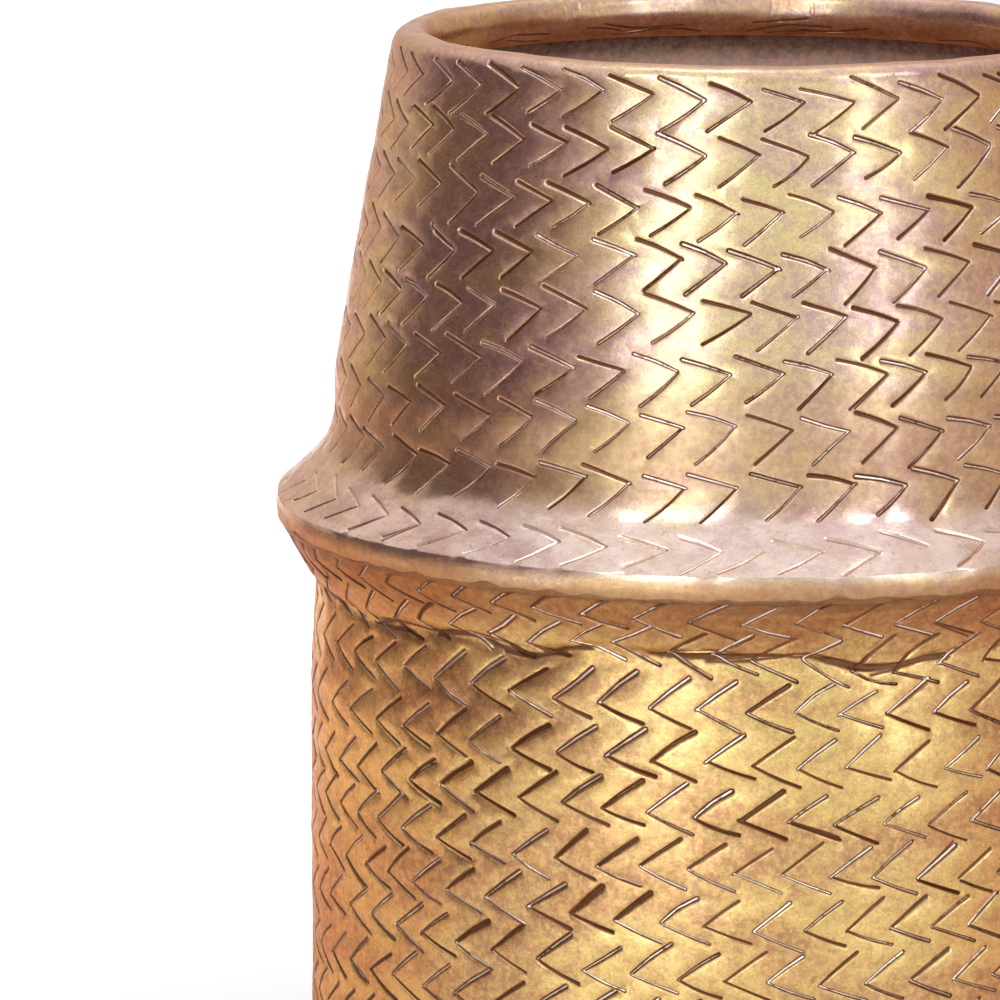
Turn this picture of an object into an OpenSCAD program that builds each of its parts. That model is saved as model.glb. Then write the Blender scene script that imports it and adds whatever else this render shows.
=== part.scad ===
// Planter pot of hand-worked sheet brass: a tapering upper shell over a straight lower shell, joined
// at a sharp ridge. The mouth is rolled inward over a rod, and a flat plate closes the bottom.
// Origin: centre of the bottom, on the surface that the pot stands on. +Z runs up the pot's axis.

/* [Sheet metal] */
// Thickness of the shells' sheet
sheet = 1; // [0.8:0.1:1.4]
// Thickness of the base plate
plate_t = 1.2; // [1:0.1:2]

/* [Mouth] */
// Height of the rolled lip's crown above the floor
rim_z = 360; // [340:1:400]
// Radius at which the lip turns over the rod
lip_r = 104.4; // [102:0.1:106]
// Radius at which the wall's slope would meet the crown
wall_top_r = 111.9; // [111:0.1:115]
// Outer rounding between the crown and the wall
lip_round = 6; // [4:0.5:7]
// Width of the oval rod inside the lip
rod_w = 8; // [6:0.5:8]
// Height of the oval rod
rod_h = 13; // [10:0.5:14]

/* [Upper shell] */
// Radius at the foot of the taper
taper_foot_r = 131.1; // [129:0.1:131.4]
// Height of the foot of the taper
taper_foot_z = 254; // [250:1:260]
// Radius of the throat above the ridge
throat_r = 132; // [131.5:0.1:134]
// Rounding of the bend at the foot of the taper
taper_round = 40; // [20:5:60]
// Rounding of the hollow between the throat and the shoulder
throat_round = 12; // [6:1:16]

/* [Ridge] */
// Radius at which the shoulder and the underside would meet
ridge_r = 152.1; // [148:0.1:156]
// Height of the ridge
ridge_z = 210.6; // [205:0.1:215]
// Rounding of the ridge's nose
nose_round = 6.5; // [4:0.5:9]
// Radius of the crease under the ridge
crease_r = 137.2; // [135:0.1:138]
// Height of the crease
crease_z = 185; // [180:1:190]

/* [Lower shell] */
// Radius at the fullest part of the lower shell
belly_r = 139.5; // [139:0.1:142]
// Height of the fullest part
belly_z = 152; // [140:1:165]
// Radius of the straight wall below it
body_r = 139; // [138:0.1:141]
// Rounding of the bottom corner
foot_round = 12; // [8:1:16]
// Inner radius of the flange that is turned in under the base plate
flange_r = 112; // [108:1:116]

/* [Seams] */
// Width of the brazed side seams, in degrees
seam_deg = 0.7; // [0.5:0.1:1.2]
// Direction of the upper shell's seam, in degrees from the front towards the right
upper_seam_at = 40; // [0:1:180]
// Direction of the lower shell's seam, in degrees from the front towards the right
lower_seam_at = 165; // [0:1:180]
// Gap between the two shells' edges, filled by the ridge seam
ridge_gap = 0.8; // [0.5:0.1:1.2]

/* [Hidden] */

// Round faces and the steps along a rounded corner
round_fn = 180;
corner_steps = 8;
// Angle of the front, counted from +X
front = -90;
// Rounding of the two gentle bends in the lower shell
belly_round = 60;
// Sine of the bend below which a line counts as straight
straight = 0.0001;
// How far up the underside the shells' edges meet, as a share of the underside's length
joint_share = 0.80;
// Radius of the bead along the inside of the ridge seam
bead_r = 1.6;
// Lap of the base plate over the flange, and the width and height of the fillet below it
plate_lap = 12;
fillet_w = 1.6;
fillet_low = 0.2;
// Steps round half of the oval roll, and the slack between the rod and the roll's straight facets
roll_steps = 24;
rod_slack = 0.06;

// Centre of the rod, which the lip wraps round
rod_centre = [lip_r, rim_z - sheet - rod_h / 2];
// Outer outline's corners, each with its rounding: the upper shell down to the ridge's underside
ridge = [ridge_r, ridge_z];
crease = [crease_r, crease_z];
joint = crease + joint_share * (ridge - crease);
underside = (crease - ridge) / norm(crease - ridge);
upper_corners = [
    [[lip_r, rim_z], 0],
    [[wall_top_r, rim_z], lip_round],
    [[taper_foot_r, taper_foot_z], taper_round],
    [[throat_r, ridge_z + ridge_r - throat_r], throat_round],
    [ridge, nose_round],
    [joint, 0],
];
// The lower shell, from the ridge's underside down to the flange's inner edge
lower_corners = [
    [joint + ridge_gap * underside, 0],
    [crease, 0],
    [[belly_r, belly_z], belly_round],
    [[body_r, belly_z / 2], belly_round],
    [[body_r, 0], foot_round],
    [[flange_r, 0], 0],
];

function unit(v) = v / norm(v);

// Points of one corner b between its neighbours a and c, rounded to radius r, or b alone where it is sharp
function rounded_corner(a, b, c, r) =
    let (u = unit(a - b), v = unit(c - b))
    r == 0 || abs(cross(u, v)) < straight ? [b] :
    let (
        half = acos(u * v) / 2,
        centre = b + unit(u + v) * r / sin(half),
        p = b + u * r / tan(half) - centre,
        q = b + v * r / tan(half) - centre,
        start = atan2(p[1], p[0]),
        turn = 180 - 2 * half,
        side = p[0] * q[1] - p[1] * q[0] > 0 ? 1 : -1
    )
    [for (i = [0:corner_steps])
        let (angle = start + side * turn * i / corner_steps)
        centre + r * [cos(angle), sin(angle)]];

// A line through all the corners, from [point, rounding] pairs
function rounded_line(corners) =
    let (last = len(corners) - 1)
    [for (i = [0:last])
        let (around = [corners[max(i - 1, 0)][0], corners[i][0], corners[min(i + 1, last)][0]])
        each rounded_corner(around[0], around[1], around[2], corners[i][1])];

// Direction out of the metal at point i of a line that runs down the outside
function outward(line, i) =
    let (d = unit(line[min(i + 1, len(line) - 1)] - line[max(i - 1, 0)]))
    [-d[1], d[0]];

// The line itself and, back along the inside, the same line one sheet further in
function sheet_outline(line) = concat(
    line,
    [for (i = [len(line) - 1:-1:0]) line[i] - sheet * outward(line, i)]
);

// Point at an angle on an oval round the rod's centre, so far outside the rod's own surface
function on_oval(angle, gap) =
    rod_centre + [(rod_w / 2 + gap) * cos(angle), (rod_h / 2 + gap) * sin(angle)];

// Outside of the roll, from under the rod round the mouth's side to just short of the crown
roll = [for (i = [0:roll_steps - 1]) on_oval(-90 - 180 * i / roll_steps, sheet)];

module upper_section() {
    polygon(sheet_outline(concat(roll, rounded_line(upper_corners))));
}

module lower_section() {
    polygon(sheet_outline(rounded_line(lower_corners)));
}

// Turns a section round the axis, all the way except for the seam
module shell(seam_at) {
    rotate([0, 0, front + seam_at + seam_deg / 2])
        rotate_extrude(angle = 360 - seam_deg, $fn = round_fn)
            children();
}

// Turns the same section through the seam's own width
module side_seam(seam_at) {
    rotate([0, 0, front + seam_at - seam_deg / 2])
        rotate_extrude(angle = seam_deg, $fn = round_fn)
            children();
}

module upper_wall() {
    color("#b98f52")
        shell(upper_seam_at)
            upper_section();
}

module lower_wall() {
    color("#b8863f")
        shell(lower_seam_at)
            lower_section();
}

module upper_side_seam() {
    color("#d8b76a")
        side_seam(upper_seam_at)
            upper_section();
}

module lower_side_seam() {
    color("#d8b76a")
        side_seam(lower_seam_at)
            lower_section();
}

module rim_rod() {
    color("#8d8f92")
        rotate_extrude($fn = round_fn)
            polygon([for (i = [0:2 * roll_steps - 1]) on_oval(180 * i / roll_steps, -rod_slack)]);
}

// Filler between the shells' edges, with a half-round bead along the inside
module ridge_seam() {
    out = [-underside[1], underside[0]];
    inner_middle = joint + ridge_gap / 2 * underside - sheet * out;
    across = atan2(underside[1], underside[0]);
    bead = [for (i = [0:2 * corner_steps])
        let (angle = across - 90 * i / corner_steps)
        inner_middle + bead_r * [cos(angle), sin(angle)]];
    color("#d8b76a")
        rotate_extrude($fn = round_fn)
            polygon(concat(
                [joint, joint + ridge_gap * underside, joint + ridge_gap * underside - sheet * out],
                bead,
                [joint - sheet * out]
            ));
}

// Flat disc that lies on the flange
module base_plate() {
    color("#a97c3c")
        translate([0, 0, sheet])
            cylinder(r = flange_r + plate_lap, h = plate_t, $fn = round_fn);
}

// Brazed fillet between the flange's edge and the underside of the plate
module base_seam() {
    color("#d8b76a")
        rotate_extrude($fn = round_fn)
            polygon([[flange_r, fillet_low], [flange_r, sheet], [flange_r - fillet_w, sheet]]);
}

upper_wall();
lower_wall();
rim_rod();
ridge_seam();
upper_side_seam();
lower_side_seam();
base_plate();
base_seam();
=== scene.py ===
"""Looks of a hand-worked brass planter pot: two chased sheet-metal shells, their seams and the studio."""

import math

import bpy
import numpy as np
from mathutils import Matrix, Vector
from mathutils.geometry import delaunay_2d_cdt


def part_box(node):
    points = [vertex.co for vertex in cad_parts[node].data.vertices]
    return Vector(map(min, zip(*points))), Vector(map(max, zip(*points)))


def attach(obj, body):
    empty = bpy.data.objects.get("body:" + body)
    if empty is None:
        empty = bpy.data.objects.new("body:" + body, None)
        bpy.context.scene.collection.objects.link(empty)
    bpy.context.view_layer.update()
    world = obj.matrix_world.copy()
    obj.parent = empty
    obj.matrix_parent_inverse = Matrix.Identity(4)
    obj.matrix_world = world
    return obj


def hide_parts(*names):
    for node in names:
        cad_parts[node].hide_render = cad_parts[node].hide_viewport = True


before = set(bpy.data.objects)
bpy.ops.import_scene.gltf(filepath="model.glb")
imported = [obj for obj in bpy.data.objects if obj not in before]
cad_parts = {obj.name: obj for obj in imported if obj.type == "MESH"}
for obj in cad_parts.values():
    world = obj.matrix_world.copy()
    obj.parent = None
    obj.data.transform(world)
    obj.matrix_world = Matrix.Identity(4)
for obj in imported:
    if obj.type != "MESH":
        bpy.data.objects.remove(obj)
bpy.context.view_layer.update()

# ---- sizes, in millimetres unless said

MM = 0.001
SHEET = 1.0
# How much further in than one sheet the inside lies behind the chisel marks
MARK_ROOM = 1.6
# Gap between the rod and the roll, and the radius of the bead inside the ridge's seam
ROD_SLACK = 0.06
BEAD_R = 1.6

# Heights that the frame gives
RIM_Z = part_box("upper_wall")[1].z / MM
FOOT_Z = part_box("lower_wall")[0].z / MM

# Radius at which the lip turns, and the rod's half width and half height
LIP_R = 104.4
ROD = np.array([4.0, 6.5])
# Where the shoulder and the underside would meet, and the crease below, as (radius, height)
RIDGE = np.array([152.1, 210.6])
CREASE = np.array([137.2, 185.0])
# Directions down the shoulder, which slopes at 45 degrees, and down the underside
SHOULDER = np.array([1.0, -1.0]) / math.sqrt(2)
UNDERSIDE = (CREASE - RIDGE) / np.linalg.norm(CREASE - RIDGE)
# Where the two shells' edges meet: share of the way up the underside, and the gap that the braze fills
JOINT_SHARE = 0.80
JOINT_GAP = 0.8
JOINT = CREASE + JOINT_SHARE * (RIDGE - CREASE)
# The ridge's nose is a narrow band between two edges, each so far from where its two sides would meet
NOSE_CUT = 3.1
NOSE_TOP = RIDGE - NOSE_CUT * SHOULDER
THROAT_R = 132.0
BODY_R = 139.0
FLANGE_R = 112.0
# Corners of the shells' outer outlines as (radius, height), each with its rounding
UPPER_CORNERS = [
    ((LIP_R, RIM_Z), 0),
    ((111.9, RIM_Z), 6),
    ((131.1, 254), 40),
    ((THROAT_R, RIDGE.sum() - THROAT_R), 22),
    (NOSE_TOP, 0.7),
    (RIDGE + NOSE_CUT * UNDERSIDE, 2.2),
    (JOINT, 0),
]
LOWER_CORNERS = [
    (JOINT + JOINT_GAP * UNDERSIDE, 0),
    (CREASE, 1.2),
    ((139.5, 152), 60),
    ((BODY_R, 76), 60),
    ((BODY_R, FOOT_Z), 12),
    ((FLANGE_R, FOOT_Z), 0),
]

# Side seams: width in degrees, and direction in degrees from the front towards the right
SEAM_DEG = 0.7
UPPER_SEAM_AT = 40
LOWER_SEAM_AT = 165

# Chisel marks: an arm's length and bow, and half its width and its depth at the free end and at the point
ARM = 14.9
BOW = 0.26
CUT_HALF_WIDTH = (0.84, 0.60)
CUT_DEPTH = (0.66, 0.48)
# Half the width of a mark's flat bottom as a share of its half width, and how much the bottom faces up
FLAT, FLAT_TILT = 0.20, 0.06
# A chevron's upper arm is struck broader than its lower one
ARM_WIDTHS = (1.12, 0.82)
# The edge thrown up beside a mark: how far out in half widths, how broad, how high as a share of the depth
LIP_AT, LIP_SPREAD, LIP_HEIGHT = 1.5, 0.40, 0.13
# How soon that edge fades past a mark's ends
LIP_FADE = 0.4
# The sheet round a mark: how far it sinks as a share of the depth, how far out, and how much it leans
SINK, SINK_REACH, SINK_LEAN = 0.50, 3.1, 0.3
# How neighbouring marks' sinks join, from 1, a plain sum, up to taking the deeper one
SINK_BLEND = 2.5
# How far out a mark is felt, and the most that u is squeezed against true length
SINK_END, MOST_SQUEEZE = 2.6 * SINK_REACH, 1.3
# Shine of a mark's edge where its bottom has 1, and how far out in half widths the edge still counts
EDGE_SHINE, EDGE_AT = 0.3, 1.02
# A cut shallower than this is none
NO_CUT = 0.01
# Marks are shallower at a sheet's edges: distance from the edge, and share of the depth there
EDGE_MARKS = ((0, 4), (0.5, 1.0))

# How unevenly the maker worked. Spreads of a chevron's step in pitches and of its height
STEP_SPREAD, HEIGHT_SPREAD = 0.075, 0.35
# Spreads of an arm's angle in degrees, of its length as a share, of its point's place and of its bow
ANGLE_SPREAD, ARM_SPREAD, TIP_SPREAD, BOW_SPREAD = 2.4, 0.06, 0.24, 0.2
# Ranges of a chevron's force, and of one arm's force, breadth and shine
FORCES, ARM_FORCES, ARM_BREADTHS, ARM_SHINES = (0.8, 1.2), (0.82, 1.15), (0.88, 1.1), (0.72, 1.12)
# How far a row's line and its force drift round the pot, and how many chevrons it may miss its start by
ROW_DRIFT, FORCE_DRIFT, ROW_MISS = 0.7, 0.16, 0.3
# Share of the arms that were struck twice, and how far the chisel slipped
TWICE, SLIP = 0.035, 0.9
# Ranges of a fold's length and force, and the spread of its bow as a share of its length
FOLD_LENGTHS, FOLD_FORCES, FOLD_BOW = (0.5, 1.3), (0.5, 1.2), 0.05

# Meshes of the outside and the inside: widest step round the pot, widest and finest step down the outline,
# and the most that the outline turns in a step, in degrees
OUTER_GRID = (4.0, 3.6, 0.7, 9)
INNER_GRID = (6.0, 7.0, 1.4, 16)
# Bend of the outline, in radians per mm, under which it counts as straight
STRAIGHT = 1e-6
# How far the outside's grid keeps from the marks, and the distance in u past which that isn't measured
GRID_CLEAR, FAR_FROM_MARK = 1.7, 3.0
# How far the marks' own points keep from the sheet's edges, and the inside's grid from a patch's two sides
RING_CLEAR, INNER_CLEAR = 0.2, (4, 3)
# Faces that meet at more than this angle look sharp
SHARP_DEG = 34
# How far rounding may move a point off a straight border
ROUNDED_OFF = 0.001

# Depth of the sheet's small dents and broad bulges, and how far from an edge they are at their full depth
DENT_DEPTH, BULGE_DEPTH, BULGE_FADE = 0.11, 0.22, 4


# ---- outlines

def unit(v):
    return v / np.linalg.norm(v)


def rounded_corner(a, b, c, radius, steps=16):
    """Points of corner b between its neighbours a and c, rounded to the radius."""
    if radius == 0:
        return [b]
    to_a, to_c = unit(a - b), unit(c - b)
    half = math.acos(float(to_a @ to_c)) / 2
    centre = b + unit(to_a + to_c) * radius / math.sin(half)
    first = b + to_a * radius / math.tan(half) - centre
    last = b + to_c * radius / math.tan(half) - centre
    start = math.atan2(first[1], first[0])
    turn = (math.pi - 2 * half) * np.sign(first[0] * last[1] - first[1] * last[0])
    angles = start + turn * np.linspace(0, 1, steps + 1)
    return list(centre + radius * np.stack([np.cos(angles), np.sin(angles)], 1))


def rounded_line(corners):
    points = [np.array(p, float) for p, _ in corners]
    last = len(points) - 1
    line = []
    for i, (_, radius) in enumerate(corners):
        line += rounded_corner(points[max(i - 1, 0)], points[i], points[min(i + 1, last)], radius)
    return np.array(line)


def rod_oval(angles, gap):
    """Points of an oval round the rod's centre, so far outside the rod's own surface."""
    centre = np.array([LIP_R, RIM_Z - SHEET - ROD[1]])
    return centre + (ROD + gap) * np.stack([np.cos(angles), np.sin(angles)], 1)


def roll_line(steps=36):
    """The roll from under the rod, round the mouth's side, to just short of the crown."""
    return rod_oval(np.radians(-90 - 180 * np.arange(steps) / steps), SHEET)


def length_of(line):
    return float(np.linalg.norm(np.diff(line, axis=0), axis=1).sum())


class Outline:
    """A shell's outer outline, measured by s, the distance along it from its zero point."""

    def __init__(self, line, zero=0.0, step=0.25):
        along = np.concatenate([[0], np.cumsum(np.linalg.norm(np.diff(line, axis=0), axis=1))])
        self.s = np.arange(0, along[-1], step)
        self.s = np.append(self.s, along[-1])
        self.r = np.interp(self.s, along, line[:, 0])
        self.z = np.interp(self.s, along, line[:, 1])
        self.s -= zero
        slope_r, slope_z = np.gradient(self.r, self.s), np.gradient(self.z, self.s)
        size = np.hypot(slope_r, slope_z)
        self.normal_r, self.normal_z = -slope_z / size, slope_r / size
        heading = np.unwrap(np.arctan2(slope_z, slope_r))
        self.bend = np.abs(np.gradient(heading, self.s))

    def radius(self, s):
        return np.interp(s, self.s, self.r)

    def s_at(self, height):
        """Where the outline passes a height on its way down from its zero point."""
        down = self.s > 0
        return float(np.interp(-height, -self.z[down], self.s[down]))

    def place(self, s, lift):
        """Radius and height of points at s, lifted off the outline along its normal."""
        r = self.radius(s) + lift * np.interp(s, self.s, self.normal_r)
        z = np.interp(s, self.s, self.z) + lift * np.interp(s, self.s, self.normal_z)
        return r, z


# ---- smooth unevenness

def ring_wobble(rng, slowest, fastest, count=9):
    """A smooth function of the angle round the pot, about -1 to 1."""
    turns = rng.integers(slowest, fastest + 1, count)
    phases = rng.uniform(0, 2 * np.pi, count)
    return lambda angle: sum(np.sin(k * angle + p) for k, p in zip(turns, phases)) / math.sqrt(count / 2)


def sheet_wobble(rng, radius, shortest, longest, count=28):
    """A smooth function of the angle and of s, about -1 to 1, with waves of the given lengths."""
    lengths = rng.uniform(shortest, longest, count)
    headings = rng.uniform(0, np.pi, count)
    turns = np.rint(2 * np.pi * radius / lengths * np.cos(headings))
    climbs = 2 * np.pi / lengths * np.sin(headings)
    phases = rng.uniform(0, 2 * np.pi, count)

    def wobble(angle, s):
        total = np.zeros_like(s)
        for k, q, p in zip(turns, climbs, phases):
            total += np.sin(k * angle + q * s + p)
        return total / math.sqrt(count / 2)

    return wobble


def uneven_sheet(rng, radius):
    """Two functions of the angle and of s: small dents, about -1 to 1, and how far the sheet bulges."""
    dents = sheet_wobble(rng, radius, 14, 45)
    broad = sheet_wobble(rng, radius, 60, 200)
    return dents, lambda angle, s: DENT_DEPTH * dents(angle, s) + BULGE_DEPTH * broad(angle, s)


def rise(x, low, high):
    """0 below low, 1 above high, smooth between them."""
    t = np.clip((x - low) / (high - low), 0, 1)
    return t * t * (3 - 2 * t)


# ---- chisel marks

class Cuts:
    """Chisel marks on the unrolled sheet. u runs round the pot at the shell's mean radius."""

    def __init__(self):
        self.rows = []

    def add(self, free, point, stretch, strength, width=1.0, lean=0.0, bow=0.0, shine=0.6):
        """One mark from its free end to the chevron's point. stretch turns u into true length there."""
        self.rows.append((*free, *point, stretch, strength, width, lean, bow, shine))

    def wrapped(self, period):
        """All the marks, with those near either end of the sheet repeated past the other end."""
        marks = np.array(self.rows)
        reach = 2 * ARM
        middle = (marks[:, 0] + marks[:, 2]) / 2
        copies = [marks]
        for near, shift in ((middle < reach, period), (middle > period - reach, -period)):
            moved = marks[near].copy()
            moved[:, [0, 2]] += shift
            copies.append(moved)
        return [Mark(row) for row in np.vstack(copies)]


class Mark:
    """One chisel mark, in true millimetres along and across it."""

    def __init__(self, row):
        self.scale = np.array([row[4], 1.0])
        self.free = row[0:2] * self.scale
        point = row[2:4] * self.scale
        self.length = np.linalg.norm(point - self.free)
        self.along = (point - self.free) / self.length
        self.across = np.array([-self.along[1], self.along[0]])
        self.u_range = min(row[0], row[2]), max(row[0], row[2])
        self.strength, self.width, self.lean, self.bow, self.shine = row[5:10]

    def half_width(self, t):
        return np.interp(t, (0, 1), CUT_HALF_WIDTH) * self.width

    def bowed(self, t):
        return self.bow * 4 * t * (1 - t)

    def measure(self, u, s):
        """Each point's share of the mark's length, its distance to one side and past the mark's ends."""
        dx, dy = u * self.scale[0] - self.free[0], s - self.free[1]
        t = dx * self.along[0] + dy * self.along[1]
        share = np.clip(t / self.length, 0, 1)
        side = dx * self.across[0] + dy * self.across[1] - self.bowed(share)
        beyond = np.maximum(np.maximum(-t, t - self.length), 0)
        return share, side, beyond

    def place(self, t, out_along, out_across):
        """A point at share t, moved out along and across by so many half widths."""
        half = self.half_width(t)
        step = np.outer(t * self.length + out_along * half, self.along)
        return (self.free + step + np.outer(out_across * half + self.bowed(t), self.across)) / self.scale


def near_mark(mark, sorted_u, order, reach):
    """Which points may lie within reach of the mark."""
    low, high = mark.u_range[0] - reach, mark.u_range[1] + reach
    return order[np.searchsorted(sorted_u, low):np.searchsorted(sorted_u, high)]


# Rings of mesh points round each mark: how far out in half widths, points along a side and round an end
RINGS = ((FLAT, 3, 1), (1.0, 4, 3), (1.5, 4, 3))


def ring_outline(out, side_count, end_count):
    """A closed ring round a mark: share of the length, steps along and steps across, in half widths."""
    sides = np.linspace(0, 1, side_count)
    turns = np.pi * np.arange(1, end_count + 1) / (end_count + 1)
    t = np.concatenate([sides, np.ones(end_count), sides[::-1], np.zeros(end_count)])
    flat = np.zeros(side_count)
    along = np.concatenate([flat, out * np.sin(turns), flat, -out * np.sin(turns)])
    across = np.concatenate([flat + out, out * np.cos(turns), flat - out, -out * np.cos(turns)])
    return t, along, across


def mark_rings(marks):
    """Points and edges round each mark, so that the mesh has an edge wherever the section bends."""
    points, edges = [], []
    first = 0
    outlines = [ring_outline(*ring) for ring in RINGS]
    for mark in marks:
        for t, along, across in outlines:
            points.append(mark.place(t, along, across))
            count = len(t)
            edges += [(first + i, first + (i + 1) % count) for i in range(count)]
            first += count
    return np.vstack(points), edges


def chase(u, s, marks):
    """Height of the chased sheet at each point, and the shine there: 0 outside, up to 1 on a bottom."""
    order = np.argsort(u)
    sorted_u = u[order]
    cut, lip, sunk, shine = (np.zeros_like(u) for _ in range(4))
    for mark in marks:
        near = near_mark(mark, sorted_u, order, MOST_SQUEEZE * SINK_END)
        share, side, beyond = mark.measure(u[near], s[near])
        close = np.hypot(side, beyond) < SINK_END
        near, share, side, beyond = near[close], share[close], side[close], beyond[close]
        half = mark.half_width(share)
        distance = np.hypot(side, beyond)
        a = distance / half
        depth = np.interp(share, (0, 1), CUT_DEPTH) * mark.strength
        down = np.sign(mark.across[1]) * side / half
        tilted = depth * (1 - FLAT_TILT / FLAT * np.clip(down, -FLAT, FLAT))
        cut[near] = np.minimum(cut[near], -tilted * np.clip((1 - a) / (1 - FLAT), 0, 1))
        beside = LIP_HEIGHT * depth * np.exp(-((a - LIP_AT) / LIP_SPREAD) ** 2)
        lip[near] = np.maximum(lip[near], beside * (1 - rise(beyond, 0, LIP_FADE)))
        lean = 1 + SINK_LEAN * mark.lean * np.tanh(side / half)
        sunk[near] += (SINK * depth * lean * np.exp(-(distance / SINK_REACH) ** 2)) ** SINK_BLEND
        within = np.interp(a, (FLAT, 1.0), (1.0, EDGE_SHINE)) * (a < EDGE_AT)
        shine[near] = np.maximum(shine[near], within * mark.shine)
    return np.where(cut < -NO_CUT, cut, lip) - sunk ** (1 / SINK_BLEND), shine


def chevron_row(cuts, rng, shell, s, count, point, angles, strength, wander, missing=0.0):
    """One row of chevrons that starts at the seam, goes round, and closes on itself unevenly.

    point is 1 for chevrons that point right and -1 for left. angles are the upper and the lower arm's tilt.
    missing is the share of arms left out.
    """
    stretch = float(shell.outline.radius(s)) / shell.mean_r
    pitch = shell.period / (count + rng.uniform(-ROW_MISS, ROW_MISS))
    lift = ring_wobble(rng, 1, 5)
    weight = ring_wobble(rng, 1, 9)
    # A light row is cut less clean, so its bottoms shine less
    clean = min(1.0, 1.2 * strength ** 1.5)
    u = rng.uniform(0, pitch)
    for _ in range(count):
        u += pitch * rng.normal(1, STEP_SPREAD)
        angle = u / shell.mean_r
        here = s + wander(angle) + ROW_DRIFT * lift(angle) + rng.normal(0, HEIGHT_SPREAD)
        heavy = strength * (1 + FORCE_DRIFT * weight(angle) + shell.extra_weight(angle, here))
        heavy *= rng.uniform(*FORCES)
        for side, tilt, broad in zip((-1, 1), angles, ARM_WIDTHS):
            tilt = math.radians(tilt + rng.normal(0, ANGLE_SPREAD))
            arm = ARM * rng.normal(1, ARM_SPREAD)
            tip = np.array([u, here]) + rng.normal(0, TIP_SPREAD, 2)
            reach = np.array([-point * arm * math.cos(tilt) / stretch, side * arm * math.sin(tilt)])
            press = heavy * rng.uniform(*ARM_FORCES)
            if rng.uniform() < missing:
                continue
            outward = side * point
            width = broad * rng.uniform(*ARM_BREADTHS) * (0.6 + 0.4 * press)
            shine = min(1.0, clean * rng.uniform(*ARM_SHINES))
            bow = outward * rng.normal(BOW, BOW_SPREAD)
            cuts.add(tip + reach, tip, stretch, press, width, -outward, bow, shine)
            if rng.uniform() < TWICE:
                # The second blow is lighter and a little shorter, and slips more at the free end
                slip = rng.normal(0, SLIP, 2)
                cuts.add(tip + reach * 0.95 + slip, tip + slip * 0.4, stretch, press * 0.6, 0.8)


def fold_marks(cuts, rng, shell, s, count, spread, tilt, strength, width, length, near=None, shine=0.6):
    """Irregular folds near s: along it all round the pot, or across it near a direction (middle, spread)."""
    for _ in range(count):
        u = rng.uniform(0, shell.period)
        if near:
            turn = math.radians(rng.normal(*near)) - shell.seam_at
            u = turn % (2 * math.pi) * shell.mean_r
        here = s + rng.normal(0, spread)
        heading = math.radians(rng.normal(90 if near else 0, tilt))
        stretch = float(shell.outline.radius(here)) / shell.mean_r
        half = 0.5 * length * rng.uniform(*FOLD_LENGTHS)
        step = np.array([half * math.cos(heading) / stretch, half * math.sin(heading)])
        middle = np.array([u, here])
        force = strength * rng.uniform(*FOLD_FORCES)
        bow = rng.normal(0, FOLD_BOW * length)
        cuts.add(middle - step, middle + step, stretch, force, width, 0, bow, shine)


# ---- shells as meshes

def new_mesh(name, points, faces):
    mesh = bpy.data.meshes.new(name)
    mesh.from_pydata(np.asarray(points).tolist(), [], faces)
    return mesh


def new_object(name, data):
    """An object in the scene, whose data is a mesh, a lamp or a camera."""
    made = bpy.data.objects.new(name, data)
    bpy.context.scene.collection.objects.link(made)
    return made


def nothing(angle, s):
    return np.zeros_like(s)


class Shell:
    """One sheet-metal shell, unrolled: u from 0 to period round the pot, s down the outline."""

    def __init__(self, line, zero, seam_at, mean_r):
        self.outline = Outline(line, zero)
        self.mean_r = mean_r
        self.period = 2 * np.pi * mean_r
        self.seam_u = self.period - math.radians(SEAM_DEG) * mean_r
        self.seam_at = math.radians(seam_at + SEAM_DEG / 2)
        self.marks = None
        # Places struck harder: direction in degrees, s, spread in mm, how much harder
        self.heavy_spots = []
        # Extra grid lines, and where past the first and the last edge the room behind marks opens
        self.fine_s = []
        self.room_past_first, self.room_past_last = (0, 1), (0, 1)
        # How far the sheet moves along itself, out and up, and what its material reads, painted shade among
        # it
        self.shift = self.swell = self.raised = nothing
        self.worn = self.shade_and_grime = self.soil_and_shade = nothing
        self.inner_painted_shadow = np.zeros_like

    def extra_weight(self, angle, s):
        """How much harder the maker struck, round the shell's heavy spots."""
        total = 0.0
        for turn, spot_s, spread, amount in self.heavy_spots:
            around = self.mean_r * math.remainder(angle + self.seam_at - math.radians(turn), 2 * math.pi)
            total += amount * math.exp(-(around ** 2 + (s - spot_s) ** 2) / spread ** 2)
        return total

    def edge_distance(self, s):
        return np.minimum(s - self.outline.s[0], self.outline.s[-1] - s)

    def points(self, u, s, lift):
        """Points in metres, in the frame's axes."""
        angle = u / self.mean_r
        lift = lift + self.swell(angle, s) * rise(self.edge_distance(s), 0, BULGE_FADE)
        r, z = self.outline.place(s + self.shift(angle, s), lift)
        turned = angle + self.seam_at - math.pi / 2
        return np.stack([r * np.cos(turned), r * np.sin(turned), z + self.raised(angle, s)], 1) * MM

    def inner_lift(self, s):
        """The inside lies one sheet in, and further in where the marks are deep."""
        past_first = rise(s - self.outline.s[0], *self.room_past_first)
        past_last = rise(self.outline.s[-1] - s, *self.room_past_last)
        return -SHEET - MARK_ROOM * past_first * past_last


def grid_lines(shell, widest, finest, turn_deg):
    """Values of s for the grid, closer together where the outline bends."""
    s, last = shell.outline.s[0], shell.outline.s[-1]
    lines = [s]
    while s < last:
        bend = np.interp(s + finest / 2, shell.outline.s, shell.outline.bend)
        s += float(np.clip(math.radians(turn_deg) / max(bend, STRAIGHT), finest, widest))
        lines.append(min(s, last))
    if lines[-1] - lines[-2] < finest / 2:
        del lines[-2]
    lines = np.array(lines)
    if len(shell.fine_s):
        lines = lines[np.abs(lines[:, None] - shell.fine_s).min(1) > finest / 2]
    return np.sort(np.append(lines, shell.fine_s))


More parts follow.
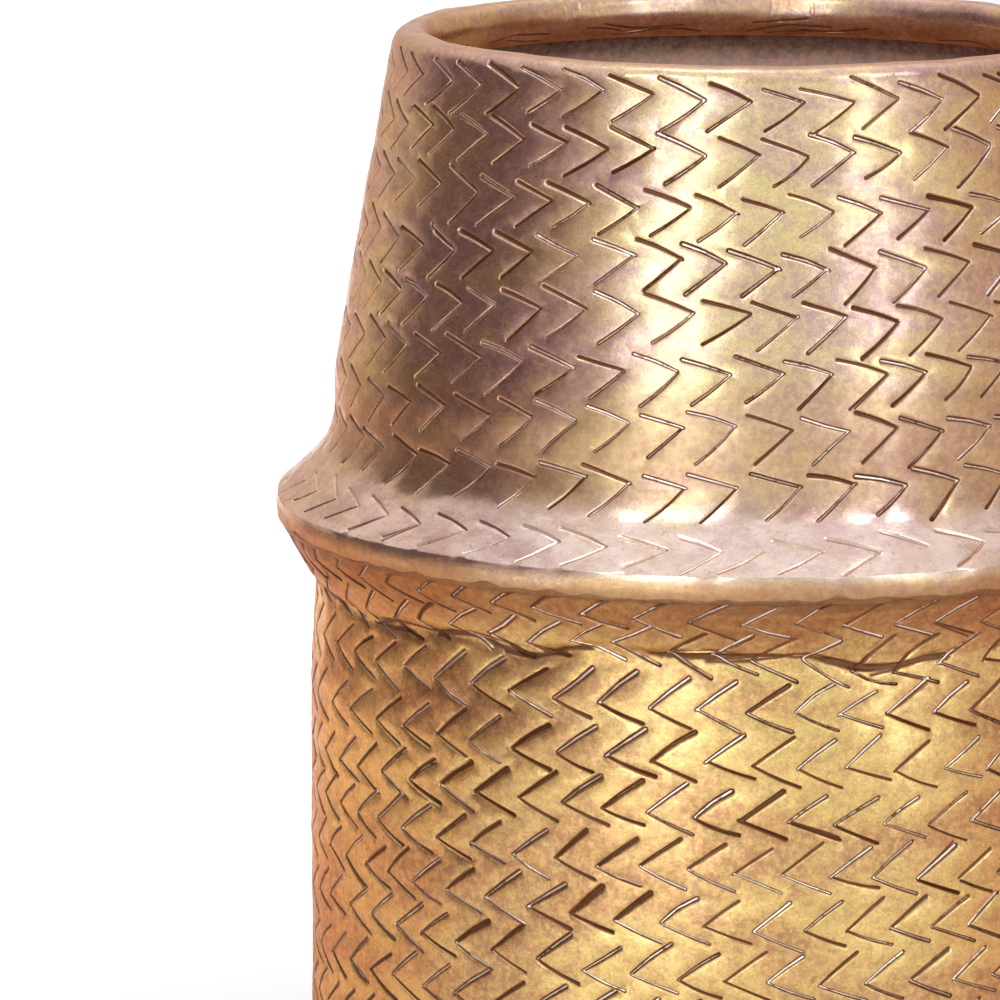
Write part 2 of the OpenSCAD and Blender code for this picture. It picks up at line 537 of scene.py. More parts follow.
def distance_to_marks(u, s, marks):
    """Distance from each point to the nearest mark, or infinity where none is near."""
    nearest = np.full_like(u, np.inf)
    order = np.argsort(u)
    sorted_u = u[order]
    for mark in marks:
        near = near_mark(mark, sorted_u, order, FAR_FROM_MARK)
        _, side, beyond = mark.measure(u[near], s[near])
        nearest[near] = np.minimum(nearest[near], np.hypot(side, beyond))
    return nearest


def triangulate(points, edges):
    """Constrained triangles over points on the unrolled sheet."""
    flat, _, faces, *_ = delaunay_2d_cdt([Vector(p) for p in points], edges, [], 0, 1e-5, False)
    return np.array([v[:] for v in flat]), np.array(faces)


def without_slivers(flat, faces):
    """Leaves out the triangles that have all three corners on one of the patch's four straight borders."""
    at_low = np.abs(flat - flat.min(0)) < ROUNDED_OFF
    at_high = np.abs(flat - flat.max(0)) < ROUNDED_OFF
    on_border = np.hstack([at_low, at_high])[faces].all(1).any(1)
    return faces[~on_border]


def frame_edges(shell, u_lines, s_lines, first):
    """The sheet's four borders and the seam's edge, as points and the edges between them."""
    points, edges = [], []

    def border(run):
        start = first + len(points)
        points.extend(run)
        edges.extend((start + i, start + i + 1) for i in range(len(run) - 1))

    for s in (s_lines[0], s_lines[-1]):
        border([(u, s) for u in u_lines])
    for u in (0.0, shell.seam_u, shell.period):
        border([(u, s) for s in s_lines])
    return points, edges


def outer_skin(shell):
    """Vertices (u, s) and triangles of the chased outside, with an edge along every bend of a mark."""
    step_u, *down = OUTER_GRID
    s_lines = grid_lines(shell, *down)
    u_lines = np.append(np.arange(0, shell.seam_u - 1, step_u), [shell.seam_u, shell.period])
    u, s = (g.ravel() for g in np.meshgrid(u_lines[1:-2], s_lines[1:-1]))
    clear = distance_to_marks(u, s, shell.marks) > GRID_CLEAR
    grid = np.stack([u[clear], s[clear]], 1)
    rings, edges = mark_rings(shell.marks)
    rings[:, 1] = np.clip(rings[:, 1], s_lines[0] + RING_CLEAR, s_lines[-1] - RING_CLEAR)
    points = np.vstack([rings, grid])
    border, border_edges = frame_edges(shell, u_lines, s_lines, len(points))
    flat, faces = triangulate(np.vstack([points, border]), edges + border_edges)
    middle = flat[faces].mean(1)
    kept = (middle[:, 0] > 0) & (middle[:, 0] < shell.period)
    return flat, faces[kept], middle[kept]


def border_loop(faces):
    """The open border of a patch of triangles, as directed edges."""
    edges = np.vstack([faces[:, [0, 1]], faces[:, [1, 2]], faces[:, [2, 0]]])
    known = set(map(tuple, edges))
    return np.array([e for e in edges if (e[1], e[0]) not in known])


def inner_skin(shell, flat, rim_ids, rim_edges):
    """Vertices (u, s) and triangles of the plainer inside, whose first vertices lie behind the rim's."""
    step_u, *down = INNER_GRID
    first_u, last_u = flat[:, 0].min() + INNER_CLEAR[0], flat[:, 0].max() - INNER_CLEAR[1]
    lines = np.meshgrid(np.arange(first_u, last_u, step_u), grid_lines(shell, *down)[1:-1])
    grid = np.stack([g.ravel() for g in lines], 1)
    inner_flat, inner_faces = triangulate(np.vstack([flat[rim_ids], grid]), rim_edges)
    return inner_flat, without_slivers(inner_flat, inner_faces)


def sheet_piece(name, shell, flat, faces):
    """A closed mesh: the chased outside, a plainer inside one sheet further in, and the edges between."""
    used, faces = np.unique(faces, return_inverse=True)
    faces = faces.reshape(-1, 3)
    flat = flat[used]
    rim = border_loop(faces)
    rim_ids = np.unique(rim)
    place = {v: i for i, v in enumerate(rim_ids)}
    rim_edges = [(place[a], place[b]) for a, b in rim]
    inner_flat, inner_faces = inner_skin(shell, flat, rim_ids, rim_edges)

    u, s = flat[:, 0], flat[:, 1]
    inner_u, inner_s = inner_flat[:, 0], inner_flat[:, 1]
    height, mark = chase(u, s, shell.marks)
    outside = shell.points(u, s, height * np.interp(shell.edge_distance(s), *EDGE_MARKS))
    inside = shell.points(inner_u, inner_s, shell.inner_lift(inner_s))
    if facing(outside, faces) < 0:
        faces = faces[:, ::-1]
        rim = rim[:, ::-1]
    if facing(inside, inner_faces) > 0:
        inner_faces = inner_faces[:, ::-1]
    offset = len(outside)
    sides = [(b, a, offset + place[a], offset + place[b]) for a, b in rim]
    polygons = faces.tolist() + (inner_faces + offset).tolist() + sides
    mesh = new_mesh(name, np.vstack([outside, inside]), polygons)

    angle, plain = u / shell.mean_r, np.zeros(len(inside))
    # The marks' values also carry the painted crease line, shadow and deposit, and the painted shade under
    # the ridge
    add_values(mesh, "mark", np.append(np.maximum(mark, shell.soil_and_shade(angle, s)), plain))
    add_values(mesh, "worn", np.append(shell.worn(angle, s), plain))
    # Painted shade under the nose, the roll and the ridge, painted shadow inside under the roll, and streaky
    # stains on the roll
    add_values(mesh, "shade_and_grime", np.append(shell.shade_and_grime(angle, s), shell.inner_painted_shadow(inner_s)))
    smooth = [True] * (len(faces) + len(inner_faces)) + [False] * len(sides)
    mesh.polygons.foreach_set("use_smooth", smooth)
    within = [0] * len(faces) + [1] * (len(inner_faces) + len(sides))
    mesh.polygons.foreach_set("material_index", within)
    mesh.set_sharp_from_angle(angle=math.radians(SHARP_DEG))
    mesh.update()
    return new_object(name, mesh)


def add_values(mesh, name, values):
    """One number for each vertex, which the materials read by name."""
    mesh.attributes.new(name, "FLOAT", "POINT").data.foreach_set("value", values.astype(np.float32))


def facing(points, faces):
    """Above 0 if most triangles face away from the pot's axis."""
    a, b, c = (points[faces[:, i]] for i in range(3))
    normals = np.cross(b - a, c - a)
    outward = (a + b + c) / 3
    outward[:, 2] = 0
    return float((normals * outward).sum())


def stand_for(piece, node):
    """Puts a piece in a CAD node's place."""
    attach(piece, "root")
    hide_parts(node)


def shell_pieces(shell, wall_node, seam_node):
    """The shell and its side seam, cut from one chased sheet so that marks run across both."""
    flat, faces, middle = outer_skin(shell)
    in_wall = middle[:, 0] < shell.seam_u
    wall = sheet_piece("chased_" + wall_node, shell, flat, faces[in_wall])
    seam = sheet_piece("brazed_" + seam_node, shell, flat, faces[~in_wall])
    stand_for(wall, wall_node)
    stand_for(seam, seam_node)
    return wall, seam


# ---- the two shells

def rim_rise(turn):
    """How much higher than its crown the lip stands in a direction from the front, in mm."""
    return 1.0 - np.cos(turn)


def chase_upper(shell, rng):
    """Rows of chevrons that point right, a light row on the shoulder, and folds in the rolled lip."""
    cuts = Cuts()
    wander = ring_wobble(rng, 1, 3)
    rows, first_s, row_step = 8, 15.5, 16.45
    for row in range(rows):
        share = row / (rows - 1)
        tilts = (22 - 7 * share, 35 + 8 * share)
        s, count = first_s + row_step * row, round(48 + 2.5 * share)
        chevron_row(cuts, rng, shell, s, count, 1, tilts, 1.0, wander)
    shoulder_s, light = 152.0, 0.48
    chevron_row(cuts, rng, shell, shoulder_s, 53, 1, (18, 33), light, wander, missing=0.12)
    # Folds along the roll's lower half, and short wrinkles across it in five places
    fold_marks(cuts, rng, shell, -16, count=46, spread=2.4, tilt=4, strength=0.3, width=0.9, length=24)
    for turn in (-144, -96, 20, 118, 170):
        fold_marks(cuts, rng, shell, -8, count=5, spread=1.8, tilt=14, strength=0.09, width=0.9, length=7,
                   near=(turn, 3.0), shine=0.2)
    shell.marks = cuts.wrapped(shell.period)


def upper_shell():
    """The rolled lip, taper, throat, shoulder and nose. s is 0 at the crown and below 0 on the roll."""
    rng = np.random.default_rng(11)
    roll, below = roll_line(), rounded_line(UPPER_CORNERS)
    roll_length = length_of(np.vstack([roll, below[:1]]))
    shell = Shell(np.vstack([roll, below]), roll_length, UPPER_SEAM_AT, 125.0)
    shell.heavy_spots = [(28, 70, 45, 0.25), (-20, 40, 35, 0.15), (120, 90, 50, 0.25), (-140, 50, 50, 0.2)]
    chase_upper(shell, rng)
    hem = ring_wobble(rng, 3, 30)
    dents, bulge = uneven_sheet(rng, shell.mean_r)
    streaks = sheet_wobble(rng, shell.mean_r, 40, 120)
    throat_s, nose_s = 140, 162
    nose_top = shell.outline.s_at(NOSE_TOP[1])
    shell.fine_s = nose_top + np.linspace(-0.6, 0.6, 6)
    shell.room_past_first, shell.room_past_last = (21, 27), (4, 10)

    def swell(angle, s):
        # Near the ridge the sheet also waves in and out with the hem
        return bulge(angle, s) + 0.22 * hem(angle) * rise(s, nose_s - 7, nose_s - 2)

    def worn(angle, s):
        on_shoulder = rise(s + 3 * dents(angle, s), throat_s - 6, throat_s + 6)
        on_rim = 0.6 * rise(s, -5, -1) * (1 - rise(s, 3, 8))
        return on_shoulder * (1 - rise(s, nose_top, nose_top + 2)) + on_rim

    # Darker tones: painted shade under the nose and on the roll's underside, streaky stains on the roll, and
    # a darker band above the throat
    def shade_and_grime(angle, s):
        above_throat = 0.6 * rise(s + 4 * dents(angle, s), 90, 112) * (1 - rise(s, throat_s - 6, throat_s))
        under_nose = rise(s + 0.8 * hem(angle) + 0.8 * dents(angle, s), nose_s - 1, nose_s + 4)
        streaked = np.clip(0.12 + 0.4 * streaks(angle, 7 * s), 0, 1)
        on_roll = np.maximum(streaked, rise(-s + 1.5 * dents(angle, s), 12, 18))
        return above_throat + under_nose + on_roll * rise(-s, 0, 4)

    shell.shift = lambda angle, s: 0.8 * hem(angle) * rise(-s, 10, 19)
    shell.raised = lambda angle, s: rim_rise(angle + shell.seam_at) * (1 - rise(s, 5, 80))
    shell.swell = swell
    shell.worn = worn
    shell.shade_and_grime = shade_and_grime
    # Painted shadow on the inside, just under the roll
    shell.inner_painted_shadow = lambda s: 1 - rise(s, 24, 29)
    return shell


def chase_lower(shell, rng, fold_s):
    """Twelve rows of chevrons that point left, and the folds of the hammered crease."""
    cuts = Cuts()

    def wander(angle):
        return 3.2 * np.sin(2 * (angle + shell.seam_at))

    underside_row, crease_row, body_row, row_step = 9.5, 22.4, 38.8, 16.6
    for s in [underside_row, crease_row] + [body_row + row_step * row for row in range(10)]:
        chevron_row(cuts, rng, shell, s, 60, -1, (36, 22), 1.0, wander)
    fold_marks(cuts, rng, shell, fold_s, count=52, spread=0.7, tilt=3, strength=0.6, width=1.2, length=26)
    shell.marks = cuts.wrapped(shell.period)


def lower_shell():
    """The ridge's underside, the crease, the straight body and the foot. s is 0 at the upper edge."""
    rng = np.random.default_rng(23)
    shell = Shell(rounded_line(LOWER_CORNERS), 0.0, LOWER_SEAM_AT, BODY_R)
    shell.heavy_spots = [(-24, 48, 24, 0.55), (-46, 72, 30, 0.4), (18, 12, 16, 0.3), (-8, 14, 16, 0.35),
                         (60, 80, 40, 0.3), (150, 50, 40, 0.4), (-130, 100, 40, 0.4)]
    crease_s = float(np.linalg.norm(CREASE - JOINT)) - JOINT_GAP
    # The folds lie just above the crease, and the sheet gets even where the foot begins
    fold_s = crease_s - 0.5
    foot_s = shell.outline.s[-1] - (BODY_R - FLANGE_R) - 14
    chase_lower(shell, rng, fold_s)
    crease = ring_wobble(rng, 2, 24)
    line_breadth = ring_wobble(rng, 8, 40)
    _, bulge = uneven_sheet(rng, shell.mean_r)
    streaks = sheet_wobble(rng, shell.mean_r, 60, 160)
    shell.fine_s = crease_s + np.linspace(-6, 6, 13)
    shell.room_past_first, shell.room_past_last = (0, 3), (16, 26)

    def breadth(angle):
        return 0.9 + 0.5 * np.clip(line_breadth(angle), -1.3, 2)

    def swell(angle, s):
        pinch = 0.6 * breadth(angle) * np.exp(-((s - fold_s) / 1.3) ** 2)
        return bulge(angle, s) * (1 - rise(s, foot_s, foot_s + 10)) - pinch

    # Painted shade on the ridge's underside, fading out just below the crease
    def shade_and_grime(angle, s):
        return 1 - rise(s + 1.5 * crease(angle), crease_s - 16, crease_s + 3)

    # A painted dark line along the crease, for its shadow and the deposit in it, and painted shade in
    # streaks just under the ridge
    def soil_and_shade(angle, s):
        in_crease = 0.7 * np.exp(-((s - fold_s) / breadth(angle)) ** 2)
        under_ridge = 0.45 * (1 - rise(s + 1.6 * streaks(angle, 6 * s), 1.0, 6.5))
        return np.maximum(in_crease, under_ridge)

    shell.shift = lambda angle, s: 2.0 * crease(angle) * np.exp(-((s - crease_s) / 9) ** 2)
    shell.swell = swell
    shell.shade_and_grime = shade_and_grime
    shell.soil_and_shade = soil_and_shade
    return shell


# ---- rings: the rod and the ridge's seam

def ring_piece(name, node, section, steps=720):
    """A closed ring. section gives its outline as (radius, height) in mm at a turn from the front."""
    turns = 2 * np.pi * np.arange(steps) / steps
    loops = np.array([section(turn) for turn in turns])
    count = loops.shape[1]
    turned = turns[:, None] - math.pi / 2
    points = np.stack([loops[..., 0] * np.cos(turned), loops[..., 0] * np.sin(turned), loops[..., 1]], 2)
    here = np.arange(steps * count).reshape(steps, count)
    ahead = np.roll(here, -1, 0)
    quads = np.stack([here, ahead, np.roll(ahead, -1, 1), np.roll(here, -1, 1)], 2).reshape(-1, 4).tolist()
    mesh = new_mesh(name, points.reshape(-1, 3) * MM, quads)
    mesh.polygons.foreach_set("use_smooth", [True] * len(quads))
    mesh.update()
    piece = new_object(name, mesh)
    stand_for(piece, node)
    return piece


def lip_rod():
    """The oval rod, bent to follow the lip."""
    oval = rod_oval(2 * np.pi * np.arange(24) / 24, -ROD_SLACK)
    return ring_piece("bent_rod", "rim_rod", lambda turn: oval + (0, rim_rise(turn)), 180)


def ridge_bead():
    """The uneven braze between the shells: nearly flush outside, a fuller bead inside."""
    rng = np.random.default_rng(5)
    breadth, height, drift = (ring_wobble(rng, 6, 90, 24) for _ in range(3))
    out = np.array([-UNDERSIDE[1], UNDERSIDE[0]])
    middle = JOINT + JOINT_GAP / 2 * UNDERSIDE
    arc = np.pi * np.arange(1, 8) / 8

    def section(turn):
        wide = 1.0 + 0.3 * breadth(turn)
        proud = 0.10 + 0.05 * height(turn)
        outside = np.outer(wide * np.cos(arc), UNDERSIDE) + np.outer(proud * np.sin(arc), out)
        inside = np.outer(-wide * BEAD_R * np.cos(arc), UNDERSIDE)
        inside += np.outer(-SHEET - wide * BEAD_R * np.sin(arc), out)
        return middle + 0.25 * drift(turn) * UNDERSIDE + np.vstack([outside, inside])

    return ring_piece("brazed_ridge_seam", "ridge_seam", section)


# ---- materials

# Dark brown of the deposit in the marks, also used for the painted crease shadow and the painted shade under
# the ridge
DIRT_AND_SHADE = (0.17, 0.070, 0.030)
STAIN = (0.42, 0.26, 0.20)
POLISHED = (0.97, 0.84, 0.74)
# How much the patina's patches are drawn out along the sheet's rows
STREAK = 1.9
# Layers of the patina: the noise's scale, detail, roughness, distortion and squeeze, then between which
# values of it the layer grows, and from what strength to what
LAYERS = {
    "patches": ((17, 6, 0.66, 0.8, STREAK), (0.40, 0.60, 0.0, 1.0)),
    "stain": ((30, 7, 0.72, 1.2, STREAK), (0.55, 0.70, 0.0, 0.6)),
    "mottle": ((90, 6, 0.75, 0.4, STREAK), (0.34, 0.68, 0.0, 1.0)),
    "haze": ((260, 5, 0.75, 0.6), (0.48, 0.66, 0.0, 0.45)),
    "fleck": ((420, 5, 0.75), (0.40, 0.62, 0.0, 0.5)),
    "speck": ((520, 3, 0.6), (0.62, 0.74, 0.0, 0.5)),
    "grain": ((1150, 3, 0.7), (0.36, 0.64, 0.0, 0.30)),
}
# Between which values of a mark the dark deposit and painted shade set in, and its bottom looks polished, up
# to which strength
DIRT_AND_SHADE_AT, SHINY = (0.28, 0.60), (0.84, 0.97, 0.0, 0.85)
# What the metal reflects at a grazing angle
EDGE_TINT = (0.93, 0.69, 0.56)


class Tree:
    """A node tree in the making, with short ways to make nodes and join them."""

    def __init__(self, tree):
        self.nodes, self.links = tree.nodes, tree.links

    def feed(self, socket, value):
        """Joins a value to a socket, or sets it there if it is a constant."""
        if isinstance(value, bpy.types.NodeSocket):
            self.links.new(value, socket)
        else:
            socket.default_value = (*value, 1) if isinstance(value, tuple) else value

    def set_inputs(self, node, values):
        for name, value in values.items():
            node.inputs[name].default_value = value

    def ramp(self, value, low, high, bottom=0.0, top=1.0):
        """bottom where the value is below low, top where it is above high, smooth between them."""
        node = self.nodes.new("ShaderNodeMapRange")
        node.interpolation_type = "SMOOTHSTEP"
        self.links.new(value, node.inputs["Value"])
        self.set_inputs(node, {"From Min": low, "From Max": high, "To Min": bottom, "To Max": top})
        return node.outputs["Result"]

    def math(self, operation, a, b):
        node = self.nodes.new("ShaderNodeMath")
        node.operation = operation
        self.feed(node.inputs[0], a)
        self.feed(node.inputs[1], b)
        return node.outputs["Value"]

    def mix(self, factor, a, b):
        node = self.nodes.new("ShaderNodeMix")
        node.data_type = "RGBA"
        self.feed(node.inputs["Factor"], factor)
        self.feed(node.inputs["A"], a)
        self.feed(node.inputs["B"], b)
        return node.outputs["Result"]

    def gradient(self, value, stops, interpolation):
        """A colour for each value. stops are (position, colour) from 0 to 1."""
        node = self.nodes.new("ShaderNodeValToRGB")
        node.color_ramp.interpolation = interpolation
        while len(node.color_ramp.elements) < len(stops):
            node.color_ramp.elements.new(0.5)
        for element, (position, colour) in zip(node.color_ramp.elements, stops):
            element.position = position
            element.color = (*colour, 1)
        self.links.new(value, node.inputs["Fac"])
        return node.outputs["Color"]


class Paint(Tree):
    """A material in the making."""

    def __init__(self, name):
        self.material = bpy.data.materials.new(name)
        self.material.use_nodes = True
        super().__init__(self.material.node_tree)
        self.shader = self.nodes["Principled BSDF"]
        self.place = self.nodes.new("ShaderNodeTexCoord").outputs["Object"]

    def plain(self, colour, rough):
        """Gives the whole material one colour and one roughness."""
        self.shader.inputs["Base Color"].default_value = (*colour, 1)
        self.shader.inputs["Roughness"].default_value = rough
        return self.material

    def noise(self, scale, detail, rough=0.6, warp=0.0, squeeze=1.0):
        """Noise of the given scale. squeeze above 1 flattens its patches into level streaks."""
        node = self.nodes.new("ShaderNodeTexNoise")
        mapping = self.nodes.new("ShaderNodeMapping")
        mapping.inputs["Scale"].default_value = (1, 1, squeeze)
        self.links.new(self.place, mapping.inputs["Vector"])
        self.set_inputs(node, {"Scale": scale, "Detail": detail, "Roughness": rough, "Distortion": warp})
        self.links.new(mapping.outputs["Vector"], node.inputs["Vector"])
        return node.outputs["Fac"]

    def attribute(self, name):
        node = self.nodes.new("ShaderNodeAttribute")
        node.attribute_name = name
        return node.outputs["Fac"]


def shade_of(colour, amount):
    return tuple(amount * c for c in colour)


def patina(paint, layer, wear, shade_and_grime, golden, rose, worn, shaded):
    """The metal's colour between its marks. Each layer lies over the ones before it."""
    bare = paint.ramp(paint.math("MAXIMUM", wear, shade_and_grime), 0, 1, 1.0, 0.35)
    mottle = layer["mottle"]
    colour = paint.mix(layer["patches"], golden, rose)
    colour = paint.mix(layer["stain"], colour, STAIN)
    colour = paint.mix(paint.math("MULTIPLY", wear, paint.ramp(mottle, 0, 1, 0.95, 0.6)), colour, worn)
    colour = paint.mix(paint.ramp(mottle, 0, 1, 0.0, 0.45), colour, shade_of(rose, 0.7))
    # The shaded colour: painted shade under the nose, the roll and the ridge and inside under the roll, with
    # streaky stains on the roll
    colour = paint.mix(paint.math("MULTIPLY", shade_and_grime, paint.ramp(mottle, 0, 1, 0.86, 1.0)), colour, shaded)
    colour = paint.mix(paint.math("MULTIPLY", layer["haze"], bare), colour, shade_of(rose, 0.72))
    colour = paint.mix(paint.math("MULTIPLY", layer["fleck"], bare), colour, shade_of(golden, 1.1))
    colour = paint.mix(layer["speck"], colour, shade_of(rose, 0.5))
    return paint.mix(paint.math("MULTIPLY", layer["grain"], bare), colour, shade_of(rose, 0.6))


def brass(name, golden, rose, worn, shaded, rough, metallic=0.95):
    """Aged brass: golden metal under a mottled rosy patina, paler where worn, dark in marks and folds, with
    painted shade under the ridge and the roll and in the crease.
    """
    paint = Paint(name)
    mark, wear, shade_and_grime = (paint.attribute(name) for name in ("mark", "worn", "shade_and_grime"))
    layer = {name: paint.ramp(paint.noise(*noise), *levels) for name, (noise, levels) in LAYERS.items()}
    rubbed = paint.math("MULTIPLY", mark, paint.ramp(layer["haze"], 0.0, 0.45, 1.0, 0.9))
    polished = paint.ramp(rubbed, *SHINY)
    # Dark in the marks, and where mark carries them, the painted crease shadow and the painted shade under
    # the ridge
    dirt_and_shade = paint.math("SUBTRACT", paint.ramp(mark, *DIRT_AND_SHADE_AT), polished)
    colour = patina(paint, layer, wear, shade_and_grime, golden, rose, worn, shaded)
    colour = paint.mix(dirt_and_shade, colour, DIRT_AND_SHADE)
    colour = paint.mix(polished, colour, POLISHED)
    paint.links.new(colour, paint.shader.inputs["Base Color"])
    paint.links.new(paint.ramp(dirt_and_shade, 0, 1, metallic, 0.7 * metallic), paint.shader.inputs["Metallic"])
    paint.shader.inputs["Specular Tint"].default_value = (*EDGE_TINT, 1)

    patina_rough = paint.math("ADD", paint.ramp(layer["mottle"], 0, 1, rough - 0.03, rough + 0.07),
                              paint.ramp(wear, 0, 1, 0.0, -0.06))
    dirt_and_shade_rough = paint.ramp(paint.math("MAXIMUM", dirt_and_shade, shade_and_grime), 0.1, 1.0, 0.0, 0.10)
    paint.links.new(paint.math("ADD", patina_rough, dirt_and_shade_rough), paint.shader.inputs["Roughness"])

    bump = paint.nodes.new("ShaderNodeBump")
    bump.inputs["Strength"].default_value = 0.16
    bump.inputs["Distance"].default_value = 0.0002
    paint.links.new(paint.noise(1300, 3, 0.7), bump.inputs["Height"])
    paint.links.new(bump.outputs["Normal"], paint.shader.inputs["Normal"])
    return paint.material


def set_material(piece, *materials):
    """Gives a piece its materials. A new mesh isn't cleared, which would reset which face has which."""
    if piece.data.materials:
        piece.data.materials.clear()
    for material in materials:
        piece.data.materials.append(material)


# ---- studio

def look_at(piece, place, target):
    piece.location = place
    piece.rotation_euler = (Vector(target) - Vector(place)).to_track_quat("-Z", "Y").to_euler()


def softbox(name, place, target, width, height, brightness, spread=180):
    """A soft lamp of even brightness, whatever its size. spread is its beam's full angle in degrees."""
    data = bpy.data.lights.new(name, "AREA")
    data.shape = "RECTANGLE"
    data.spread = math.radians(spread)
    data.size, data.size_y = width, height
    data.energy = brightness * math.pi * width * height
    data.color = COOL
    lamp = new_object(name, data)
    lamp.visible_camera = False
    look_at(lamp, place, target)


def tall_softbox(name, turn, away, width, height, brightness):
    """A softbox that stands on the floor. turn is its direction from the camera's side to the right."""
    side = math.radians(turn)
    place = (away * math.sin(side), -away * math.cos(side), height / 2)
    softbox(name, place, (0, 0, height / 2), width, height, brightness)


# The camera in metres and radians: how far in front, how far above the rim, its turns down and to the left
CAMERA_AWAY, CAMERA_ABOVE, CAMERA_DOWN, CAMERA_LEFT = 1.8935, 0.1994, 0.18331, 0.04132


def make_camera():
    """A long lens, a little above the pot's head and turned left of the axis."""
    data = bpy.data.cameras.new("camera")
    data.sensor_width = 36
    data.lens = 216
    data.clip_end = 50
    camera = new_object("camera", data)
    camera.location = (0, -CAMERA_AWAY, RIM_Z * MM + CAMERA_ABOVE)
    camera.rotation_euler = (math.pi / 2 - CAMERA_DOWN, 0, CAMERA_LEFT)
    bpy.context.scene.camera = camera


def make_floor():
    """A plain pale floor, wide enough to fill every view."""
    reach = 14.0
    corners = [(-reach, -reach, 0), (reach, -reach, 0), (reach, reach, 0), (-reach, reach, 0)]
    mesh = new_mesh("floor", corners, [(0, 1, 2, 3)])
    mesh.materials.append(Paint("pale_floor").plain((0.93, 0.90, 0.82), 0.8))
    new_object("floor", mesh)


# The studio's walls: direction in degrees from the camera's side to the right, level and tint
PLAIN, COOL = (1.0, 1.0, 1.0), (0.88, 1.04, 1.28)
RED, ORANGE = (1.12, 0.68, 0.86), (1.14, 0.88, 0.74)
WALLS = [(-180, 0.75, PLAIN), (-142, 0.78, PLAIN), (-118, 0.25, RED), (-98, 0.085, RED), (-74, 0.085, RED),
         (-54, 0.31, RED), (-40, 0.64, PLAIN), (-6, 1.00, COOL), (26, 0.98, COOL), (54, 0.84, PLAIN),
         (76, 0.55, ORANGE), (110, 0.45, ORANGE), (180, 0.75, PLAIN)]
# Where the walls end and the ceiling begins, as the sine of the elevation
WALL_TOP = (math.sin(math.radians(17)), math.sin(math.radians(44)))
CEILING_LOW = (0.64, 0.60, 0.65)
CEILING_HIGH = (1.04, 1.09, 1.30)
# How many times brighter the ceiling is behind the pot
BACK_CEILING = 1.5


def make_world():
    """A round studio: walls of uneven brightness up to a soft white ceiling."""
    world = bpy.data.worlds.new("studio")
    world.use_nodes = True
    tree = Tree(world.node_tree)
    split = tree.nodes.new("ShaderNodeSeparateXYZ")
    tree.links.new(tree.nodes.new("ShaderNodeTexCoord").outputs["Generated"], split.inputs[0])
    x, y, z = split.outputs

    turn = tree.math("ARCTAN2", x, tree.math("MULTIPLY", y, -1.0))
    turn = tree.math("ADD", tree.math("MULTIPLY", turn, 1 / (2 * math.pi)), 0.5)
    stops = [(degrees / 360 + 0.5, shade_of(tint, level)) for degrees, level, tint in WALLS]
    walls = tree.gradient(turn, stops, "B_SPLINE")
    brighter = tree.nodes.new("ShaderNodeVectorMath")
    brighter.operation = "SCALE"
    ceiling = tree.gradient(z, [(0.72, CEILING_LOW), (0.97, CEILING_HIGH)], "EASE")
    tree.links.new(ceiling, brighter.inputs[0])
    tree.links.new(tree.ramp(y, 0.1, 0.7, 1.0, BACK_CEILING), brighter.inputs["Scale"])
    studio = tree.mix(tree.ramp(z, *WALL_TOP), walls, brighter.outputs["Vector"])
    tree.links.new(studio, tree.nodes["Background"].inputs["Color"])
    bpy.context.scene.world = world


def make_lights():
    """Two tall softboxes, two small ones high up, and two lamps for the floor in front and behind."""
    tall_softbox("left_softbox", turn=-18, away=2.1, width=0.68, height=2.9, brightness=1.95)
    tall_softbox("right_softbox", turn=37, away=2.1, width=0.46, height=2.9, brightness=1.5)
    for name, x, y in (("left_spot", -0.52, -0.90), ("right_spot", 0.78, -0.66)):
        softbox(name, (x, y, 1.45), (0, 0, 0.23), width=0.34, height=0.34, brightness=4.0)
    softbox("back_pool", (-0.45, 2.1, 2.2), (-0.45, 2.1, 0),
            width=1.0, height=3.6, brightness=1.1, spread=42)
    softbox("front_pool", (-0.3, -0.8, 1.5), (-0.3, -0.8, 0),
            width=0.4, height=0.5, brightness=2.7, spread=30)
    make_world()


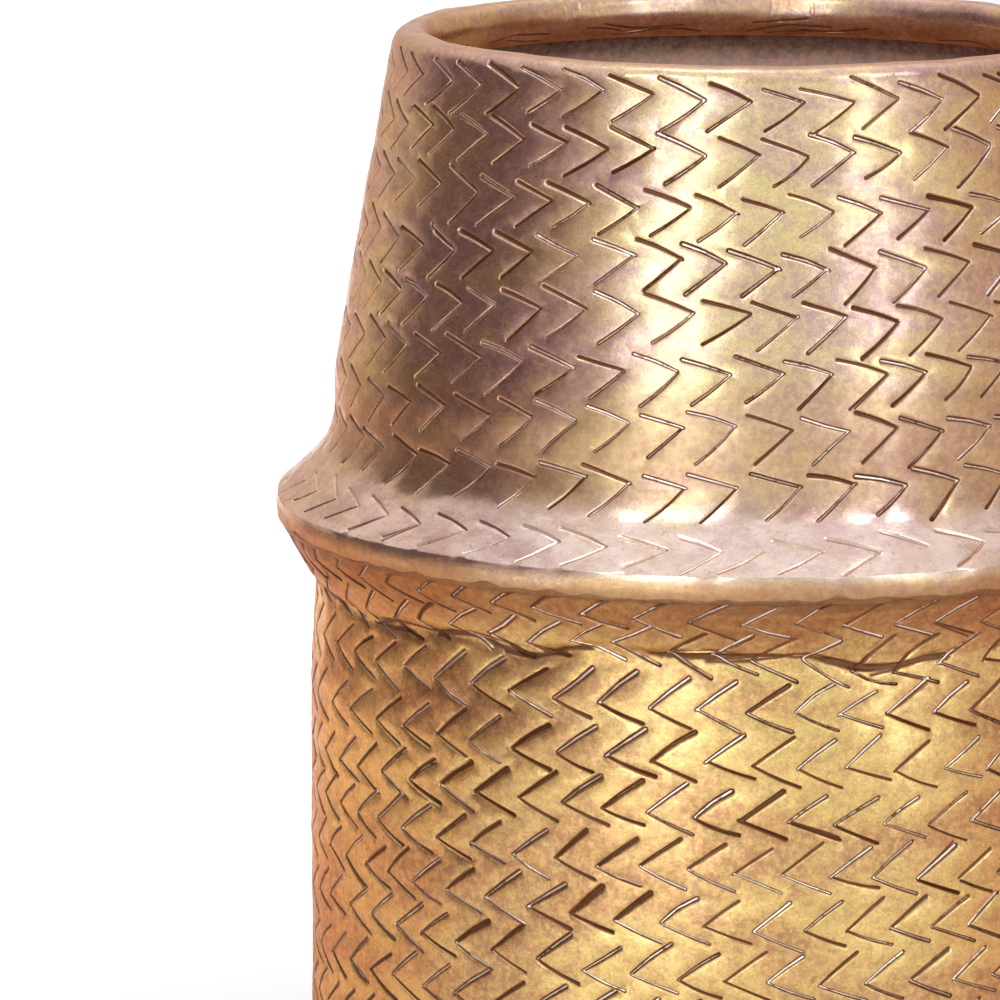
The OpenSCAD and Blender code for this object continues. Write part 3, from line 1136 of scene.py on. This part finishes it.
def cloth(name, first, last, inner, outer, colour):
    """A strip of cloth curved round the pot, seen only in reflections. inner, outer: (away, height)."""
    turns = np.radians(np.arange(first, last + 1, 4))
    points = [(away * math.sin(turn), -away * math.cos(turn), height)
              for away, height in (inner, outer) for turn in turns]
    count = len(turns)
    mesh = new_mesh(name, points, [(i, i + 1, count + i + 1, count + i) for i in range(count - 1)])
    mesh.materials.append(Paint(name).plain(colour, 1.0))
    strip = new_object(name, mesh)
    for ray in ("camera", "diffuse", "shadow", "transmission"):
        setattr(strip, "visible_" + ray, False)


def make_cloths():
    """Dark screens to the left, for depth in the metal, and warm mats on the floor to either side."""
    mat_near, mat_far = (0.2, 0.001), (1.04, 0.001)
    cloth("low_screen", -134, -54, (1.05, 0.0), (1.05, 0.15), (0.34, 0.23, 0.19))
    cloth("high_screen", -110, -66, (1.05, 0.15), (1.05, 0.96), (0.12, 0.07, 0.075))
    cloth("back_mat", -166, -138, mat_near, mat_far, (0.72, 0.60, 0.58))
    cloth("left_mat", -138, -70, mat_near, mat_far, (0.80, 0.58, 0.48))
    cloth("right_mat", 50, 118, mat_near, mat_far, (0.78, 0.56, 0.52))


# ---- putting it together

def build():
    make_camera()
    make_floor()
    make_cloths()
    make_lights()
    upper_brass = brass("upper_brass", golden=(0.92, 0.66, 0.29), rose=(0.70, 0.42, 0.36),
                        worn=(0.90, 0.69, 0.55), shaded=(0.46, 0.23, 0.10), rough=0.24)
    lower_brass = brass("lower_brass", golden=(0.94, 0.65, 0.23), rose=(0.62, 0.31, 0.14),
                        worn=(0.80, 0.52, 0.26), shaded=(0.37, 0.135, 0.05), rough=0.27)
    inner_brass = brass("inner_brass", golden=(0.97, 0.71, 0.54), rose=(0.95, 0.65, 0.50),
                        worn=(0.95, 0.72, 0.58), shaded=(0.12, 0.06, 0.045), rough=0.50, metallic=0.15)
    braze = brass("braze", golden=(0.40, 0.20, 0.09), rose=(0.28, 0.14, 0.07),
                  worn=(0.40, 0.20, 0.09), shaded=(0.28, 0.14, 0.07), rough=0.36)
    for piece in shell_pieces(upper_shell(), "upper_wall", "upper_side_seam"):
        set_material(piece, upper_brass, inner_brass)
    for piece in shell_pieces(lower_shell(), "lower_wall", "lower_side_seam"):
        set_material(piece, lower_brass, inner_brass)
    set_material(lip_rod(), inner_brass)
    set_material(ridge_bead(), braze)
    set_material(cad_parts["base_plate"], inner_brass)
    set_material(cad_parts["base_seam"], braze)
    bpy.context.scene.view_settings.view_transform = "Standard"


build()
